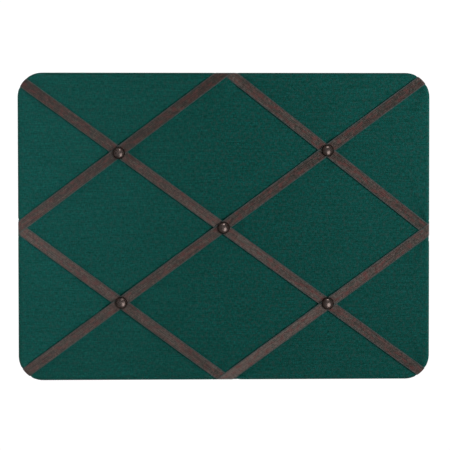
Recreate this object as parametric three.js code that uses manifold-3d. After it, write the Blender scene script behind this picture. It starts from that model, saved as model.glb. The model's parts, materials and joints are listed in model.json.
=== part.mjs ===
// A padded fabric memo board. Cloth is stretched over a foam pad on a backer board, six taut
// ribbons cross its front and are nailed where they cross, and two hinged rings hang it.
// Millimetres. X runs across the board, Z runs up it, and its front faces -Y.
// The origin is the middle of the back panel's wall side.
import * as THREE from "three";
import { mergeVertices } from "three/addons/utils/BufferGeometryUtils.js";
import Module from "manifold-3d";

const wasm = await Module();
wasm.setup();

// Outline of the covered board
const BOARD_WIDTH = 370;
const BOARD_HEIGHT = 276;
const CORNER_RADIUS = 22;
const EDGE_ROLL = 3;
const BACK_ROLL = 1.5;
const PAD_CROWN = 0.6;
const CROWN_RUN = 30;

// Layers, and the gap between pieces that lie on each other
const PANEL_THICKNESS = 2;
const PANEL_INSET = 7;
const BACKER_THICKNESS = 6;
const FOAM_THICKNESS = 7;
const FOAM_SIDE = 4;
const CLOTH_THICKNESS = 0.5;
const CLOTH_MARGIN = 18;
const LAY_GAP = 0.3;
const CUT_CLEAR = 0.1;

// Ribbons, and the channels that they press into the pad
const RIBBON_WIDTH = 10;
const RIBBON_THICKNESS = 0.4;
const RIBBON_SINK = 0.3;
const RIBBON_BACK_ROLL = 0.5;
const RIBBON_TAIL = 26;
const CHANNEL_SIDE_GAP = 0.4;
const CHANNEL_FLARE = 2;
const CHANNEL_HEADROOM = 1;

// Domed nails
const NAIL_HEAD_DIAMETER = 11.1;
const NAIL_HEAD_HEIGHT = 3.2;
const NAIL_CAP_SHEET = 0.6;
const NAIL_SHANK_DIAMETER = 1.9;
const NAIL_LENGTH = 12.7;
const NAIL_POINT = 2;

// Staples
const STAPLE_CROWN = 6.4;
const STAPLE_WIRE = 0.5;
const STAPLE_LEG = 6;
const PANEL_STAPLE_LEG = 9;
const RIBBON_STAPLE_FROM_END = 9;
const COVER_STAPLE_INSET = 11;
const PANEL_STAPLE_INSET = 23;
const COVER_STAPLES_ACROSS = [-95, 95];
const COVER_STAPLES_UP = [-60, 60];
const PANEL_STAPLES_ACROSS = [-100, 100];
const PANEL_STAPLES_UP = [-70, 70];

// Hangers
const HANGER_INSET = 24;
const STRAP_WIDTH = 11;
const STRAP_LENGTH = 18;
const STRAP_SHEET = 0.8;
const RING_WIRE = 2.2;
const RING_INNER_WIDTH = 14;
const RING_REACH = 13;
const RING_BEND = 2.2;
const RING_PLAY = 0.15;
const SCREW_OFFSET = 7;
const SCREW_DIAMETER = 3;
const SCREW_LENGTH = 10;
const SCREW_POINT = 2;
const SCREW_HEAD_DIAMETER = 6.5;
const SCREW_HEAD_HEIGHT = 2.2;
const SCREW_RECESS_WIDTH = 0.9;
const SCREW_RECESS_LENGTH = 3.6;
const SCREW_RECESS_DEPTH = 1.2;

// Facets of the curved forms
const CORNER_STEPS = 4;
const ROLL_STEPS = 2;
const BACK_STEPS = 1;
const DOME_STEPS = 5;
const DOME_SIDES = 18;
const SHANK_SIDES = 6;
const WIRE_SIDES = 8;
const RING_STEPS = 44;
const BARREL_STEPS = 20;
const LEAST_CORNER = 6;
const LEAST_ROLL = 0.4;
const QUARTER_TURN = Math.PI / 2;

// Levels along Y, from the wall side to the front
const HALF_WIDTH = BOARD_WIDTH / 2;
const HALF_HEIGHT = BOARD_HEIGHT / 2;
const RIBBON_STEP = RIBBON_THICKNESS + LAY_GAP;
const UPPER_TAIL_Y = -PANEL_THICKNESS - LAY_GAP - STAPLE_WIRE - LAY_GAP - RIBBON_THICKNESS;
const LOWER_TAIL_Y = UPPER_TAIL_Y - RIBBON_STEP;
const COVER_BACK_Y = LOWER_TAIL_Y - LAY_GAP - CUT_CLEAR;
const BACKER_BACK_Y = COVER_BACK_Y - CLOTH_THICKNESS - LAY_GAP;
const BACKER_FRONT_Y = BACKER_BACK_Y - BACKER_THICKNESS;
const FOAM_BACK_Y = BACKER_FRONT_Y - LAY_GAP;
const EDGE_Y = FOAM_BACK_Y - FOAM_THICKNESS - LAY_GAP - CLOTH_THICKNESS;
const ROLL_Y = EDGE_Y + EDGE_ROLL;
const BACKER_INSET = CLOTH_THICKNESS + LAY_GAP + FOAM_SIDE + LAY_GAP;

const finish = (color, roughness, metalness) =>
  new THREE.MeshStandardMaterial({ color, roughness, metalness });
const GREEN_CLOTH = finish(0x13453f, 0.95, 0);
const BROWN_RIBBON = finish(0x473e3b, 0.8, 0);
const BRONZE = finish(0x3a2d28, 0.35, 0.9);
const FIBREBOARD = finish(0xb08a5e, 0.85, 0);
const FOAM = finish(0xefeadc, 1, 0);
const PANEL_BOARD = finish(0x6d5a45, 0.9, 0);
const STEEL = finish(0xb9bcc0, 0.35, 1);

const board = new THREE.Group();

function addPiece(name, geometry, material, parent = board) {
  const mesh = new THREE.Mesh(geometry, material);
  mesh.name = name;
  parent.add(mesh);
  return mesh;
}

const shares = (count) => Array.from({ length: count + 1 }, (_, i) => i / count);

// Boolean helpers: a closed geometry as a solid, and back again
function solid(geometry) {
  const bare = new THREE.BufferGeometry();
  bare.setAttribute("position", geometry.getAttribute("position"));
  bare.setIndex(geometry.getIndex());
  const merged = mergeVertices(bare);
  const mesh = new wasm.Mesh({
    numProp: 3,
    vertProperties: merged.getAttribute("position").array,
    triVerts: new Uint32Array(merged.getIndex().array),
  });
  return new wasm.Manifold(mesh);
}

function geometryOf(made) {
  const { vertProperties, triVerts } = made.getMesh();
  const geometry = new THREE.BufferGeometry();
  geometry.setAttribute("position", new THREE.BufferAttribute(vertProperties, 3));
  geometry.setIndex(new THREE.BufferAttribute(triVerts, 1));
  return geometry;
}

const subtractAll = (body, cutters) => cutters.reduce((left, cutter) => left.subtract(cutter), body);

// A closed skin over rings of points, each ring turning anticlockwise about the way that they run
function loft(rings) {
  const count = rings[0].length;
  const last = (rings.length - 1) * count;
  const index = [];
  rings.slice(1).forEach((ring, i) => {
    const a = i * count;
    const b = a + count;
    ring.forEach((point, j) => {
      const k = (j + 1) % count;
      index.push(a + j, a + k, b + k, a + j, b + k, b + j);
    });
  });
  for (let j = 1; j < count - 1; j += 1) {
    index.push(0, j + 1, j, last, last + j, last + j + 1);
  }
  const geometry = new THREE.BufferGeometry().setFromPoints(rings.flat());
  geometry.setIndex(index);
  return geometry;
}

// The board's rounded outline, drawn in by an inset, at one level
function outline(inset, y) {
  const radius = Math.max(CORNER_RADIUS - inset, LEAST_CORNER);
  const reachX = HALF_WIDTH - inset - radius;
  const reachZ = HALF_HEIGHT - inset - radius;
  const corners = [[1, 1], [-1, 1], [-1, -1], [1, -1]];
  return corners.flatMap(([sideX, sideZ], quarter) =>
    shares(CORNER_STEPS).map((share) => {
      const angle = (quarter + share) * QUARTER_TURN;
      const x = sideX * reachX + radius * Math.cos(angle);
      const z = sideZ * reachZ + radius * Math.sin(angle);
      return new THREE.Vector3(x, y, z);
    }),
  );
}

const slab = (inset, backY, frontY) => loft([outline(inset, backY), outline(inset, frontY)]);

// The pad's whole form before the ribbons press into it, drawn in all over by a skin
function padForm(skin) {
  const frontRadius = EDGE_ROLL - skin;
  const backRadius = Math.max(BACK_ROLL - skin, LEAST_ROLL);
  const backY = COVER_BACK_Y - skin;
  const back = shares(BACK_STEPS).map((share) => {
    const angle = share * QUARTER_TURN;
    const inset = skin + backRadius * (1 - Math.sin(angle));
    return outline(inset, backY - backRadius * (1 - Math.cos(angle)));
  });
  const front = shares(ROLL_STEPS).map((share) => {
    const angle = (1 - share) * QUARTER_TURN;
    const inset = EDGE_ROLL - frontRadius * Math.sin(angle);
    return outline(inset, ROLL_Y - frontRadius * Math.cos(angle));
  });
  const crown = outline(EDGE_ROLL + CROWN_RUN, EDGE_Y + skin - PAD_CROWN);
  return solid(loft([...back, ...front, crown]));
}

// Where a ribbon's centre line meets the board's square outline: at an edge, so far from its
// middle, or near a corner, so far down or up the short edge from it
const onEdge = (sideX, sideZ, drift) => ({
  at: new THREE.Vector2(sideX * HALF_WIDTH + sideZ ** 2 * drift, sideZ * HALF_HEIGHT + sideX ** 2 * drift),
  outward: new THREE.Vector2(sideX, sideZ),
});
const leftEdge = (drift) => onEdge(-1, 0, drift);
const rightEdge = (drift) => onEdge(1, 0, drift);
const topEdge = (drift) => onEdge(0, 1, drift);
const bottomEdge = (drift) => onEdge(0, -1, drift);
const corner = (sideX, sideZ, drift) => ({
  at: new THREE.Vector2(sideX * HALF_WIDTH, sideZ * (HALF_HEIGHT - drift)),
  arcCentre: new THREE.Vector2(
    sideX * (HALF_WIDTH - CORNER_RADIUS),
    sideZ * (HALF_HEIGHT - CORNER_RADIUS),
  ),
});

// The rising ribbons lie on layer 1, over the falling ones on layer 0
const RIBBON_PATHS = [
  { name: "ribbon_main_falling", layer: 0, from: corner(-1, 1, 5.3), to: corner(1, -1, 1.2) },
  { name: "ribbon_upper_right", layer: 0, from: topEdge(4.3), to: rightEdge(-4.9) },
  { name: "ribbon_lower_left", layer: 0, from: leftEdge(-0.8), to: bottomEdge(1.3) },
  { name: "ribbon_main_rising", layer: 1, from: corner(-1, -1, 2.2), to: corner(1, 1, 1.4) },
  { name: "ribbon_upper_left", layer: 1, from: leftEdge(-1.1), to: topEdge(-0.5) },
  { name: "ribbon_lower_right", layer: 1, from: bottomEdge(-0.2), to: rightEdge(-2.8) },
];

// Each nail stands at a crossing, set off it by hand along X and Z
const NAIL_SPOTS = [
  { name: "upper_left", crossing: ["ribbon_main_falling", "ribbon_upper_left"], set: [0.3, -0.9] },
  { name: "upper_right", crossing: ["ribbon_upper_right", "ribbon_main_rising"], set: [0.7, -0.2] },
  { name: "centre", crossing: ["ribbon_main_falling", "ribbon_main_rising"], set: [1, -0.3] },
  { name: "lower_left", crossing: ["ribbon_lower_left", "ribbon_main_rising"], set: [0.8, -0.1] },
  { name: "lower_right", crossing: ["ribbon_main_falling", "ribbon_lower_right"], set: [0, 0.4] },
];

function crossingOf(one, other) {
  const between = other.from.at.clone().sub(one.from.at);
  const along = between.cross(other.direction) / one.direction.cross(other.direction);
  return one.from.at.clone().addScaledVector(one.direction, along);
}

const ribbons = RIBBON_PATHS.map((path) => {
  const direction = path.to.at.clone().sub(path.from.at).normalize();
  return {
    ...path,
    direction,
    across: new THREE.Vector2(-direction.y, direction.x),
    sink: RIBBON_SINK + RIBBON_THICKNESS + (1 - path.layer) * RIBBON_STEP,
    tailY: LOWER_TAIL_Y + path.layer * RIBBON_STEP,
  };
});

const nails = NAIL_SPOTS.map(({ name, crossing, set }) => {
  const [one, other] = crossing.map((wanted) => ribbons.find((ribbon) => ribbon.name === wanted));
  const centre = crossingOf(one, other);
  return { name, crossing, x: centre.x + set[0], z: centre.y + set[1] };
});

// A point in plan on the line that runs beside a ribbon's centre line
function besideRibbon(ribbon, aside, along) {
  const point = ribbon.from.at.clone().addScaledVector(ribbon.direction, along);
  return point.addScaledVector(ribbon.across, aside);
}

// How a ribbon turns over the board's edge: the run of its inner face to each fold line, and the
// inset and level that a height above that face has there
function frontFolds(ribbon) {
  const radius = EDGE_ROLL - ribbon.sink;
  return shares(ROLL_STEPS).map((share) => {
    const angle = share * QUARTER_TURN;
    return {
      run: radius * angle,
      inset: (height) => EDGE_ROLL - (radius + height) * Math.sin(angle),
      y: (height) => ROLL_Y - (radius + height) * Math.cos(angle),
    };
  });
}

function wallLine(ribbon, y) {
  const wallTop = frontFolds(ribbon).at(-1);
  return { run: wallTop.run + y - ROLL_Y, inset: wallTop.inset, y: () => y };
}

function backFolds(ribbon) {
  const turnY = ribbon.tailY - RIBBON_BACK_ROLL;
  const turnInset = ribbon.sink + RIBBON_BACK_ROLL;
  return shares(BACK_STEPS).map((share) => {
    const angle = share * QUARTER_TURN;
    return {
      run: wallLine(ribbon, turnY).run + RIBBON_BACK_ROLL * angle,
      inset: (height) => turnInset - (RIBBON_BACK_ROLL + height) * Math.cos(angle),
      y: (height) => turnY + (RIBBON_BACK_ROLL + height) * Math.sin(angle),
    };
  });
}

// Over a straight edge the ribbon keeps straight in the unfolded sheet, so it slants down the wall
function edgeWay(ribbon, end, heading) {
  const { outward } = end;
  const sideways = new THREE.Vector2(-outward.y, outward.x);
  const reach = end.at.dot(outward);
  const speed = ribbon.direction.dot(outward);
  const slant = ribbon.direction.dot(sideways) / speed;
  const rollStart = (aside) =>
    (reach - EDGE_ROLL - besideRibbon(ribbon, aside, 0).dot(outward)) / speed;
  const spot = (aside, run, inset) => {
    const start = besideRibbon(ribbon, aside, rollStart(aside)).dot(sideways);
    const point = outward.clone().multiplyScalar(reach - inset);
    return point.addScaledVector(sideways, start + slant * run);
  };
  const flat = backFolds(ribbon).at(-1);
  return {
    fold: (line, aside, height) => spot(aside, line.run, line.inset(height)),
    tail: (aside, length) => {
      const squareEnd = (rollStart(0) - rollStart(aside)) * speed;
      const past = length * heading * speed + squareEnd;
      return spot(aside, flat.run + past, flat.inset(0) + past);
    },
  };
}

// At a corner the taut ribbon folds square across its own way, and flattens the round edge there
function cornerWay(ribbon, end, heading) {
  const fromCentre = ribbon.from.at.clone().sub(end.arcCentre);
  const passing = fromCentre.dot(ribbon.direction);
  const meet = (radius) =>
    heading * Math.sqrt(passing ** 2 - fromCentre.lengthSq() + radius ** 2) - passing;
  const flat = backFolds(ribbon).at(-1);
  return {
    fold: (line, aside, height) =>
      besideRibbon(ribbon, aside, meet(CORNER_RADIUS - line.inset(height))),
    tail: (aside, length) => {
      const along = meet(CORNER_RADIUS - flat.inset(0)) - heading * length;
      return besideRibbon(ribbon, aside, along);
    },
  };
}

const wayOver = (ribbon, end, heading) =>
  end.outward ? edgeWay(ribbon, end, heading) : cornerWay(ribbon, end, heading);

const raise = (point, y) => new THREE.Vector3(point.x, y, point.y);

// A section gives its corners as distances aside from a ribbon's centre line and heights above
// its inner face. This places them on fold lines at one end of the ribbon.
function foldRings(ribbon, section, end, heading, lines) {
  const way = wayOver(ribbon, end, heading);
  return lines.map((line) =>
    section.map(([aside, height]) => raise(way.fold(line, aside, height), line.y(height))),
  );
}

// The ribbon itself, from the tail at one end to the tail at the other
function ribbonStrip(ribbon) {
  const half = RIBBON_WIDTH / 2;
  const section = [[-half, 0], [half, 0], [half, RIBBON_THICKNESS], [-half, RIBBON_THICKNESS]];
  const lines = [...frontFolds(ribbon), ...backFolds(ribbon)];
  const endRings = (end, heading) => {
    const way = wayOver(ribbon, end, heading);
    const tail = section.map(([aside, height]) =>
      raise(way.tail(aside, RIBBON_TAIL), ribbon.tailY + height),
    );
    return [...foldRings(ribbon, section, end, heading, lines), tail];
  };
  return solid(loft([...endRings(ribbon.from, -1).reverse(), ...endRings(ribbon.to, 1)]));
}

// The channel that a ribbon presses, cut so far under the ribbon, with sides that lean out. It
// runs over the front and down the walls, out at the back.
function channel(ribbon, depth) {
  const lean = Math.hypot(1, CHANNEL_FLARE) - CHANNEL_FLARE;
  const floor = RIBBON_WIDTH / 2 + CHANNEL_SIDE_GAP + (depth - LAY_GAP) * lean;
  const top = ribbon.sink + PAD_CROWN + CHANNEL_HEADROOM;
  const brim = floor + (top + depth) * CHANNEL_FLARE;
  const section = [[-floor, -depth], [floor, -depth], [brim, top], [-brim, top]];
  const lines = [...frontFolds(ribbon), wallLine(ribbon, 0)];
  const start = foldRings(ribbon, section, ribbon.from, -1, lines).reverse();
  return solid(loft([...start, ...foldRings(ribbon, section, ribbon.to, 1, lines)]));
}

const channels = (depth) => ribbons.map((ribbon) => channel(ribbon, depth));

// Nails: levels first, then the holes that their shanks stand in
const NAIL_RIM_Y = EDGE_Y + RIBBON_SINK - LAY_GAP;
const SHANK_FRONT_Y = NAIL_RIM_Y - NAIL_HEAD_HEIGHT + NAIL_CAP_SHEET + LAY_GAP;
const SHANK_POINT_Y = SHANK_FRONT_Y + NAIL_LENGTH;

function roundCut(diameter, sides, x, z, frontY, backY) {
  const radius = diameter / 2 + LAY_GAP;
  const cut = new THREE.CylinderGeometry(radius, radius, backY - frontY, sides);
  return solid(cut.translate(x, (frontY + backY) / 2, z));
}

const nailHoles = nails.map((nail) =>
  roundCut(NAIL_SHANK_DIAMETER, SHANK_SIDES, nail.x, nail.z, SHANK_FRONT_Y, SHANK_POINT_Y + LAY_GAP),
);

function nailCap() {
  const radius = NAIL_HEAD_DIAMETER / 2;
  const dome = (shrink) => (share) => {
    const angle = share * QUARTER_TURN;
    const x = (radius - shrink) * Math.sin(angle);
    return new THREE.Vector2(x, -(NAIL_HEAD_HEIGHT - shrink) * Math.cos(angle));
  };
  const outer = shares(DOME_STEPS).map(dome(0));
  const inner = shares(DOME_STEPS).map(dome(NAIL_CAP_SHEET)).reverse();
  return new THREE.LatheGeometry([...outer, ...inner], DOME_SIDES);
}

function nailShank() {
  const radius = NAIL_SHANK_DIAMETER / 2;
  const profile = [
    new THREE.Vector2(0, 0),
    new THREE.Vector2(radius, 0),
    new THREE.Vector2(radius, NAIL_LENGTH - NAIL_POINT),
    new THREE.Vector2(0, NAIL_LENGTH),
  ];
  return new THREE.LatheGeometry(profile, SHANK_SIDES);
}

// Staples: each has a place on the back, a turn about Y, and the level that its crown lies on
const turnTo = (point) => Math.atan2(-point.y, point.x);

const ribbonStaples = ribbons.flatMap((ribbon) =>
  [[ribbon.from, -1], [ribbon.to, 1]].map(([end, heading], i) => {
    const way = wayOver(ribbon, end, heading);
    const along = RIBBON_TAIL - RIBBON_STAPLE_FROM_END;
    const middle = way.tail(0, along);
    const across = way.tail(1, along).sub(middle);
    return {
      name: `${ribbon.name.replace("ribbon", "ribbon_staple")}_${i + 1}`,
      x: middle.x,
      z: middle.y,
      turn: turnTo(across),
      seatY: ribbon.tailY + RIBBON_THICKNESS + LAY_GAP,
      leg: STAPLE_LEG,
      ribbon,
    };
  }),
);

function stapleRun(name, inset, across, up, seatY, leg) {
  const long = [HALF_HEIGHT - inset, inset - HALF_HEIGHT].flatMap((z) =>
    across.map((x) => ({ x, z, turn: 0 })),
  );
  const short = [HALF_WIDTH - inset, inset - HALF_WIDTH].flatMap((x) =>
    up.map((z) => ({ x, z, turn: QUARTER_TURN })),
  );
  return [...long, ...short].map((place, i) => ({ ...place, name: `${name}_${i + 1}`, seatY, leg }));
}

const coverStaples = stapleRun(
  "cover_staple",
  COVER_STAPLE_INSET,
  COVER_STAPLES_ACROSS,
  COVER_STAPLES_UP,
  COVER_BACK_Y + LAY_GAP,
  STAPLE_LEG,
);
const panelStaples = stapleRun(
  "panel_staple",
  PANEL_STAPLE_INSET,
  PANEL_STAPLES_ACROSS,
  PANEL_STAPLES_UP,
  LAY_GAP,
  PANEL_STAPLE_LEG,
);

function stapleWire(leg) {
  const half = STAPLE_CROWN / 2;
  const inside = half - STAPLE_WIRE;
  const bend = new THREE.Shape();
  bend.moveTo(-half, -leg);
  bend.lineTo(-inside, -leg);
  bend.lineTo(-inside, 0);
  bend.lineTo(inside, 0);
  bend.lineTo(inside, -leg);
  bend.lineTo(half, -leg);
  bend.lineTo(half, STAPLE_WIRE);
  bend.lineTo(-half, STAPLE_WIRE);
  bend.closePath();
  const wire = new THREE.ExtrudeGeometry(bend, { depth: STAPLE_WIRE, bevelEnabled: false });
  return wire.translate(0, 0, -STAPLE_WIRE / 2);
}

function stapleSlot({ x, z, turn, seatY, leg }) {
  const length = STAPLE_CROWN + 2 * LAY_GAP;
  const width = STAPLE_WIRE + 2 * LAY_GAP;
  const depth = leg + 2 * LAY_GAP;
  const slot = new THREE.BoxGeometry(length, depth, width);
  return solid(slot.rotateY(turn).translate(x, seatY + LAY_GAP - depth / 2, z));
}

// Hangers: one at the top for hanging wide, one at the left edge for hanging tall. Each is built
// about its ring's pivot, with the ring up +Z and the strap down -Z.
const RING_BORE = RING_WIRE / 2 + RING_PLAY;
const PIVOT_HEIGHT = RING_BORE + STRAP_SHEET;
const PIVOT_Y = LAY_GAP + PIVOT_HEIGHT;
const RING_LEAN = Math.asin((PIVOT_Y - RING_WIRE / 2 - LAY_GAP) / RING_REACH);
const SCREW_SEAT = STRAP_SHEET - PIVOT_HEIGHT + LAY_GAP;

const hangers = [
  { name: "top", x: 0, z: HALF_HEIGHT - HANGER_INSET, up: new THREE.Vector2(0, 1), turn: 0 },
  {
    name: "side",
    x: HANGER_INSET - HALF_WIDTH,
    z: 0,
    up: new THREE.Vector2(-1, 0),
    turn: -QUARTER_TURN,
  },
];

const screwHoles = hangers.map(({ x, z, up }) => {
  const screwX = x - up.x * SCREW_OFFSET;
  const screwZ = z - up.y * SCREW_OFFSET;
  const pointY = PIVOT_Y + SCREW_SEAT - SCREW_LENGTH - LAY_GAP;
  return roundCut(SCREW_DIAMETER, SHANK_SIDES, screwX, screwZ, pointY, PIVOT_Y);
});

function hangerStrap() {
  const side = new THREE.Shape();
  side.moveTo(-STRAP_LENGTH, -PIVOT_HEIGHT);
  side.lineTo(0, -PIVOT_HEIGHT);
  const curlEnd = Math.PI + Math.asin(RING_BORE / PIVOT_HEIGHT);
  side.absarc(0, 0, PIVOT_HEIGHT, -QUARTER_TURN, curlEnd, false);
  side.lineTo(-STRAP_LENGTH, STRAP_SHEET - PIVOT_HEIGHT);
  side.closePath();
  side.holes.push(new THREE.Path().absarc(0, 0, RING_BORE, 0, 4 * QUARTER_TURN, true));
  const curled = new THREE.ExtrudeGeometry(side, {
    depth: STRAP_WIDTH,
    bevelEnabled: false,
    curveSegments: BARREL_STEPS,
  });
  curled.translate(0, 0, -STRAP_WIDTH / 2).rotateY(-QUARTER_TURN);

  const half = STRAP_WIDTH / 2;
  const plan = new THREE.Shape();
  plan.moveTo(half, PIVOT_HEIGHT + CUT_CLEAR);
  plan.lineTo(-half - CUT_CLEAR, PIVOT_HEIGHT + CUT_CLEAR);
  plan.lineTo(-half - CUT_CLEAR, half - STRAP_LENGTH);
  plan.lineTo(-half, half - STRAP_LENGTH);
  plan.absarc(0, half - STRAP_LENGTH, half, Math.PI, 4 * QUARTER_TURN, false);
  plan.lineTo(half + CUT_CLEAR, half - STRAP_LENGTH);
  plan.lineTo(half + CUT_CLEAR, PIVOT_HEIGHT + CUT_CLEAR);
  plan.closePath();
  const tongue = new THREE.ExtrudeGeometry(plan, {
    depth: 4 * PIVOT_HEIGHT,
    bevelEnabled: false,
    curveSegments: BARREL_STEPS,
  });
  tongue.translate(0, 0, -2 * PIVOT_HEIGHT).rotateX(QUARTER_TURN).rotateZ(Math.PI);
  const hole = roundCut(SCREW_DIAMETER, SHANK_SIDES, 0, -SCREW_OFFSET, -2 * PIVOT_HEIGHT, 0);
  return geometryOf(solid(curled).intersect(solid(tongue)).subtract(hole));
}

// The ring's closed wire, a bar through the strap's curl with a round bow over it
class RingWire extends THREE.Curve {
  constructor() {
    super();
    const half = RING_INNER_WIDTH / 2 + RING_WIRE / 2;
    this.path = new THREE.Path();
    this.path.moveTo(0, 0);
    this.path.lineTo(half - RING_BEND, 0);
    this.path.absarc(half - RING_BEND, RING_BEND, RING_BEND, -QUARTER_TURN, 0, false);
    this.path.lineTo(half, RING_REACH - half);
    this.path.absarc(0, RING_REACH - half, half, 0, Math.PI, false);
    this.path.lineTo(-half, RING_BEND);
    this.path.absarc(RING_BEND - half, RING_BEND, RING_BEND, Math.PI, 3 * QUARTER_TURN, false);
    this.path.lineTo(0, 0);
  }

  getPoint(share, target = new THREE.Vector3()) {
    const point = this.path.getPoint(share);
    return target.set(point.x, 0, point.y);
  }
}

const hangerRing = () =>
  new THREE.TubeGeometry(new RingWire(), RING_STEPS, RING_WIRE / 2, WIRE_SIDES, true);

function hangerScrew() {
  const radius = SCREW_DIAMETER / 2;
  const headRadius = SCREW_HEAD_DIAMETER / 2;
  const dome = shares(DOME_STEPS).map((share) => {
    const angle = share * QUARTER_TURN;
    return new THREE.Vector2(headRadius * Math.cos(angle), SCREW_HEAD_HEIGHT * Math.sin(angle));
  });
  const profile = [
    new THREE.Vector2(0, -SCREW_LENGTH),
    new THREE.Vector2(radius, SCREW_POINT - SCREW_LENGTH),
    new THREE.Vector2(radius, 0),
    ...dome.slice(0, -1),
    new THREE.Vector2(0, SCREW_HEAD_HEIGHT),
  ];
  const turned = solid(new THREE.LatheGeometry(profile, DOME_SIDES));
  const recess = [0, QUARTER_TURN].map((turn) => {
    const arm = new THREE.BoxGeometry(SCREW_RECESS_LENGTH, 2 * SCREW_RECESS_DEPTH, SCREW_RECESS_WIDTH);
    return solid(arm.rotateY(turn).translate(0, SCREW_HEAD_HEIGHT, 0));
  });
  return geometryOf(subtractAll(turned, recess));
}

// Board, pad and cover
const coverSlots = coverStaples.map(stapleSlot);
const ribbonSlots = ribbonStaples.map(stapleSlot);
const panelSlots = panelStaples.map(stapleSlot);

const backer = subtractAll(solid(slab(BACKER_INSET, BACKER_BACK_Y, BACKER_FRONT_Y)), [
  ...nailHoles,
  ...coverSlots,
  ...ribbonSlots,
  ...panelSlots,
  ...screwHoles,
]);
addPiece("backer_board", geometryOf(backer), FIBREBOARD);

const foamSkin = CLOTH_THICKNESS + LAY_GAP;
const backerPocket = solid(slab(BACKER_INSET - LAY_GAP, LAY_GAP, FOAM_BACK_Y));
const foam = subtractAll(padForm(foamSkin), [
  ...channels(LAY_GAP + foamSkin),
  backerPocket,
  ...nailHoles,
]);
addPiece("foam_pad", geometryOf(foam), FOAM);

const coverInside = subtractAll(padForm(CLOTH_THICKNESS), channels(LAY_GAP + CLOTH_THICKNESS));
const backOpening = solid(slab(CLOTH_MARGIN, COVER_BACK_Y + LAY_GAP, BACKER_BACK_Y));
const cover = subtractAll(padForm(0), [
  ...channels(LAY_GAP),
  coverInside,
  backOpening,
  ...nailHoles,
  ...coverSlots,
  ...ribbonSlots,
]);
addPiece("cover_fabric", geometryOf(cover), GREEN_CLOTH);

ribbons.forEach((ribbon) => {
  const ownSlots = ribbonStaples.filter((staple) => staple.ribbon === ribbon).map(stapleSlot);
  const ownHoles = nailHoles.filter((hole, i) => nails[i].crossing.includes(ribbon.name));
  const made = subtractAll(ribbonStrip(ribbon), [...ownSlots, ...ownHoles]);
  addPiece(ribbon.name, geometryOf(made), BROWN_RIBBON);
});

nails.forEach(({ name, x, z }) => {
  addPiece(`nail_cap_${name}`, nailCap(), BRONZE).position.set(x, NAIL_RIM_Y, z);
  addPiece(`nail_shank_${name}`, nailShank(), STEEL).position.set(x, SHANK_FRONT_Y, z);
});

const panel = subtractAll(solid(slab(PANEL_INSET, 0, -PANEL_THICKNESS)), [...panelSlots, ...screwHoles]);
addPiece("back_panel", geometryOf(panel), PANEL_BOARD);

[...ribbonStaples, ...coverStaples, ...panelStaples].forEach(({ name, x, z, turn, seatY, leg }) => {
  const staple = addPiece(name, stapleWire(leg), STEEL);
  staple.position.set(x, seatY, z);
  staple.rotation.y = turn;
});

hangers.forEach(({ name, x, z, turn }) => {
  const hanger = new THREE.Group();
  hanger.position.set(x, PIVOT_Y, z);
  hanger.rotation.y = turn;
  board.add(hanger);
  addPiece(`hanger_strap_${name}`, hangerStrap(), STEEL, hanger);
  addPiece(`hanger_ring_${name}`, hangerRing(), STEEL, hanger).rotation.x = RING_LEAN;
  addPiece(`hanger_screw_${name}`, hangerScrew(), STEEL, hanger).position.set(0, SCREW_SEAT, -SCREW_OFFSET);
});

export default board;
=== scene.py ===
"""Looks of a padded ribbon memo board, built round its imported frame.

Metres, in the frame's axes: X runs across the board, Z runs up it, and its front faces -Y.
Every new surface is worked out as whole arrays over a grid of two parameters.
"""
import json

import bpy
import numpy as np
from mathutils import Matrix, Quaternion, Vector


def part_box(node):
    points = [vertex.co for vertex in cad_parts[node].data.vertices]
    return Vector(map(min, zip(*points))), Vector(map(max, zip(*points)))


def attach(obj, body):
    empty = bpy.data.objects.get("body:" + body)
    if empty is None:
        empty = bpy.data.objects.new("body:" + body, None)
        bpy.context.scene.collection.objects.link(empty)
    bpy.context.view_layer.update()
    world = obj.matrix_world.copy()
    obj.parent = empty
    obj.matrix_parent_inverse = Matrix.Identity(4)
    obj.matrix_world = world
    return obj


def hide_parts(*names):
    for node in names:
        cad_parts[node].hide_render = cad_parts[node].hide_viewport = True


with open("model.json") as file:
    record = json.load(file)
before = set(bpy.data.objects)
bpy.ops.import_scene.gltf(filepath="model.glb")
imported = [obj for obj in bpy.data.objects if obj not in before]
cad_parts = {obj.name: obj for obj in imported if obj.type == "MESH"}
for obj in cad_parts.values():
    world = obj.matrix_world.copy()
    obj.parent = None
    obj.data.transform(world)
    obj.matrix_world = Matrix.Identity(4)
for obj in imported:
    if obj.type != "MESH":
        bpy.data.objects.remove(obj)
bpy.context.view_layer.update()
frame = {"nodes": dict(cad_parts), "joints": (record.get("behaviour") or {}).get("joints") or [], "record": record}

# Sizes shared with the solids
MM = 0.001
TINY = 1e-9
QUARTER = np.pi / 2
CORNER_RADIUS = 22 * MM
EDGE_ROLL = 3 * MM
BACK_ROLL = 1.5 * MM
PAD_CROWN = 0.6 * MM
CLOTH_THICKNESS = 0.5 * MM
CLOTH_MARGIN = 18 * MM
LAY_GAP = 0.3 * MM
PANEL_CORNER = 15 * MM
RIBBON_WIDTH = 10 * MM
RIBBON_SOLID = 0.4 * MM
RIBBON_TAIL = 26 * MM
NAIL_CAP_SHEET = 0.6 * MM
RING_WIRE = 2.2 * MM
RING_HALF_WIDTH = 8.1 * MM
RING_REACH = 13 * MM
RING_BEND = 2.2 * MM
RING_BORE = 1.25 * MM
STRAP_SHEET = 0.8 * MM
STRAP_WIDTH = 11 * MM
STRAP_LENGTH = 18 * MM
SCREW_OFFSET = 7 * MM
SCREW_RADIUS = 1.5 * MM
SCREW_LENGTH = 10 * MM
SCREW_POINT = 2 * MM
SCREW_HEAD_RADIUS = 3.25 * MM
SCREW_HEAD_HEIGHT = 2.2 * MM
RECESS_WIDTH = 0.9 * MM
RECESS_LENGTH = 3.6 * MM
RECESS_DEPTH = 1.2 * MM

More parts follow.
